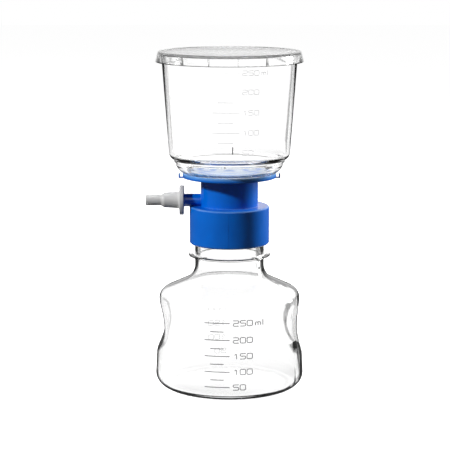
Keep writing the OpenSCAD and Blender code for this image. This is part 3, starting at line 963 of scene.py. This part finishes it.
# The lid's level top takes a painted grey reflection in front that fades to clear at the back, and
# its rounded edges a painted dark line.
clear_lid = clear_plastic("clear_lid", 0.12, 0.7, 0.93, rough=0.04, band=(0.35, 0.75, 0.06),
                          flat=(0.94, 0.99, 0.72, (0.3, 0.15)), shifts=[("side", 0, 1, 0, 0.03)])
clear_rib = clear_plastic("clear_rib", 0.02, 0.0, 0.4, rough=0.05, band=(0.35, 0.75, 0.5))
# An even painted shade on the thin lines of the chamber's scale.
fine_line = clear_plastic("fine_line", 0.4, -2.0, -1.0, rough=0.3, ior=1.25)
moulded_mark = clear_plastic("moulded_mark", 0.05, 0.0, 0.45, rough=0.3, ior=1.25)
print("chamber's plastics:", chamber_outside.name, chamber_inside.name)

# %% [markdown]
# ## Opaque plastics, seal, plug and membrane
# The opaque pieces share one recipe: two near colours mixed in soft clouds, a roughness that varies
# a little, and a fine grain in the surface. It can round the edges in its shading too, so that
# every moulded edge catches a thin light line.

# %% Make an opaque finish
def solid(name, dark, light, rough, grain, height, edge=0.0, stretch=(1, 1, 1)):
    """grain is the size of the surface's grain in mm, and edge the radius of its edges in mm.

    dark and light are screen colours, rough is a pair of roughnesses, and height is the grain's.
    """
    material, tree = new_material(name)
    place = add_node(tree, "ShaderNodeTexCoord").outputs["Object"]
    clouds = speckle(tree, place, 12.0, 1.0)
    tone = add_node(tree, "ShaderNodeValToRGB", {"Fac": clouds})
    for stop, at, colour in zip(tone.color_ramp.elements, (0.35, 0.65), (dark, light)):
        stop.position, stop.color = at, linear(*colour)
    grains = speckle(tree, place, grain, 3.0, stretch)
    bump = add_node(tree, "ShaderNodeBump", {
        "Strength": height, "Distance": 0.0001, "Height": grains})
    if edge:
        soft_edge = add_node(tree, "ShaderNodeBevel", {"Radius": edge * MM}, samples=8)
        tree.links.new(soft_edge.outputs["Normal"], bump.inputs["Normal"])
    shader = add_node(tree, "ShaderNodeBsdfPrincipled", {
        "Base Color": tone.outputs["Color"], "Roughness": spread(tree, clouds, 0.3, 0.7, *rough),
        "Normal": bump.outputs["Normal"]})
    add_node(tree, "ShaderNodeOutputMaterial", {"Surface": shader.outputs["BSDF"]})
    return material, tree, shader, place


def from_axis(tree, place):
    """Distance from the unit's upright axis, in metres."""
    level = add_node(tree, "ShaderNodeVectorMath", {0: place, 1: (1, 1, 0)}, operation="MULTIPLY")
    length = add_node(tree, "ShaderNodeVectorMath", {0: level.outputs["Vector"]},
                      operation="LENGTH")
    return length.outputs["Value"]


def recoloured(tree, shader, where, colour):
    """Mixes a screen colour into the shader's own, by an output from 0 to 1."""
    own = shader.inputs["Base Color"].links[0].from_socket
    mix = add_node(tree, "ShaderNodeMix", {"Factor": where, 6: own, 7: linear(*colour)},
                   data_type="RGBA")
    tree.links.new(mix.outputs[2], shader.inputs["Base Color"])


grey_plastic = solid("grey_plastic", (187, 187, 187), (196, 196, 196), (0.34, 0.46), 0.5, 0.05)[0]
seal_rubber = solid("seal_rubber", (222, 225, 230), (232, 234, 238), (0.55, 0.7), 0.4, 0.15)[0]
plug_fibre = solid("plug_fibre", (220, 226, 234), (240, 242, 246), (0.8, 0.95), 0.25, 0.6,
                   stretch=(1, 1, 0.3))[0]
scale_grey = solid("scale_grey", (64, 64, 68), (74, 74, 78), (0.45, 0.6), 0.3, 0.1)[0]
print("plain finishes:", grey_plastic.name, seal_rubber.name, plug_fibre.name, scale_grey.name)

# %% [markdown]
# ## Blue plastic
# The filter body is bright blue. Two places get a painted highlight, a paler blue: the disc's thin
# rim, which stands for the light that comes through and off it, and the collar's upper edge, a
# thin pale line where the edge catches light. Two ranges, one in height and one in distance from
# the axis, pick out each place.

# %% Blue plastic
blue_plastic, tree, shader, place = solid("blue_plastic", (0, 95, 195), (0, 100, 202),
                                          (0.17, 0.24), 0.6, 0.02, edge=1.0)
z, out = parts_of(tree, place)["Z"], from_axis(tree, place)
# Painted highlights: a paler blue on the disc's rim and along the collar's upper edge.
disc_rim_highlight = calculated(tree, "MULTIPLY", spread(tree, z, 0.1291, 0.1303, 0.0, 1.0),
                      spread(tree, out, 0.0258, 0.0270, 0.0, 1.0))
edge_highlight_rise = calculated(tree, "MULTIPLY", spread(tree, z, 0.1100, 0.1106, 0.0, 0.8),
                        spread(tree, out, 0.0232, 0.0237, 0.0, 1.0))
collar_edge_highlight = calculated(tree, "MULTIPLY", edge_highlight_rise, spread(tree, z, 0.1112, 0.1120, 1.0, 0.0))
recoloured(tree, shader, calculated(tree, "ADD", disc_rim_highlight, collar_edge_highlight), (84, 140, 205))
print("blue plastic:", len(tree.nodes), "nodes")

# %% [markdown]
# ## The membrane
# The filter is a matt white sheet. Where it lies on the ring-shaped ribs of its support it shows
# faint blue rings, which are a sine wave of the distance from the axis.

# %% Membrane
ring_pitch = 8.5 * MM
membrane_white, tree, shader, place = solid("membrane_white", (218, 229, 247), (226, 235, 249),
                                            (0.75, 0.9), 0.15, 0.3)
turn = calculated(tree, "MULTIPLY", from_axis(tree, place), 2 * math.pi / ring_pitch)
rings = spread(tree, calculated(tree, "SINE", turn), -0.2, 0.8, 0.0, 1.0)
recoloured(tree, shader, rings, (180, 201, 241))
print("membrane's rings every", ring_pitch / MM, "mm")

# %% [markdown]
# ## Painted shade at the bottle's folds
# Where a grip's edge is seen through the clear wall it shows as a dark stroke, which the clear
# plastic paints as shade in its colour. The vertex groups that were painted with the grips become
# one attribute, which the clear plastic reads. Inside the right grip the attribute is below 0, and
# keeps that face clear of painted shade.

# %% Attribute for the painted fold shade
in_grip, faint_fold_shade = 0.06, 0.25
fold_shade = bottle.data.attributes.new("fold_shade", "FLOAT", "POINT")
strength = {bottle.vertex_groups[name].index: value
            for name, value in (("fold_shade_right", 1.0), ("fold_shade_left", 0.8))}
right_face = bottle.vertex_groups["right_grip"].index
for vertex in bottle.data.vertices:
    weights = {entry.group: entry.weight for entry in vertex.groups}
    value = max([0.0] + [weights[g] * strength[g] for g in weights if g in strength])
    if weights.get(right_face, 0) > in_grip and value < faint_fold_shade:
        value = -1.0
    fold_shade.data[vertex.index].value = value
print("fold attribute on", len(fold_shade.data), "points")

# %% [markdown]
# ## Giving each piece its finish
# The CAD nodes get their finish in their own slots. A clear vessel has two skins, so its inner
# faces, the ones that look towards the axis, get a finish of their own, and so does the middle of
# the bottle's base. On the chamber's scale the lines, apart from the highest, get a painted shade
# that makes them darker than the digits, because a thin level line bends light too little to show.

# %% Finishes of the CAD nodes
cad_finishes = {
    "receiver_bottle": clear_outside, "upper_chamber": chamber_outside, "lid": clear_lid,
    "filter_body": blue_plastic, "hose_adapter": grey_plastic, "port_plug": plug_fibre,
    "membrane": membrane_white, "neck_seal": seal_rubber,
}
for name, finish in cad_finishes.items():
    node = nodes[name]
    if not node.material_slots:
        node.data.materials.append(finish)
    for entry in node.material_slots:
        entry.material = finish
print("CAD nodes finished:", len(cad_finishes))

# %% Finishes of the new pieces
def dressed(piece, *finishes):
    piece.data.materials.clear()
    for finish in finishes:
        piece.data.materials.append(finish)


def refinished(piece, index, rule):
    """Gives the finish with this index to the faces for which the rule holds."""
    chosen = [face for face in piece.data.polygons if rule(face.center, face.normal)]
    for face in chosen:
        face.material_index = index
    print(piece.name, "has", len(chosen), "faces with", piece.data.materials[index].name)


def looks_inwards(centre, normal):
    return normal.x * centre.x + normal.y * centre.y < 0


base_z, base_r = 7 * MM, 35.5 * MM
digits_x, highest_lines_z = 6.5 * MM, 180 * MM
dressed(bottle, *bottle_plastics)
refinished(bottle, 1, looks_inwards)
refinished(bottle, 2, lambda at, _: at.z < base_z and math.hypot(at.x, at.y) < base_r)
dressed(chamber, chamber_outside, chamber_inside)
refinished(chamber, 1, looks_inwards)
dressed(chamber_scale, moulded_mark, fine_line)
refinished(chamber_scale, 1, lambda at, _: at.x < digits_x and at.z < highest_lines_z)
for piece, finish in ((bottle_scale, scale_grey), (bottle_scale_back, pale_mark),
                      (gate_marks, scale_grey), (collar_thread, blue_plastic),
                      (parting, blue_plastic), (adapter, grey_plastic), (neck_ring, clear_ring),
                      (lid_shell, clear_lid), (lid_ribs, clear_rib)):
    dressed(piece, finish)
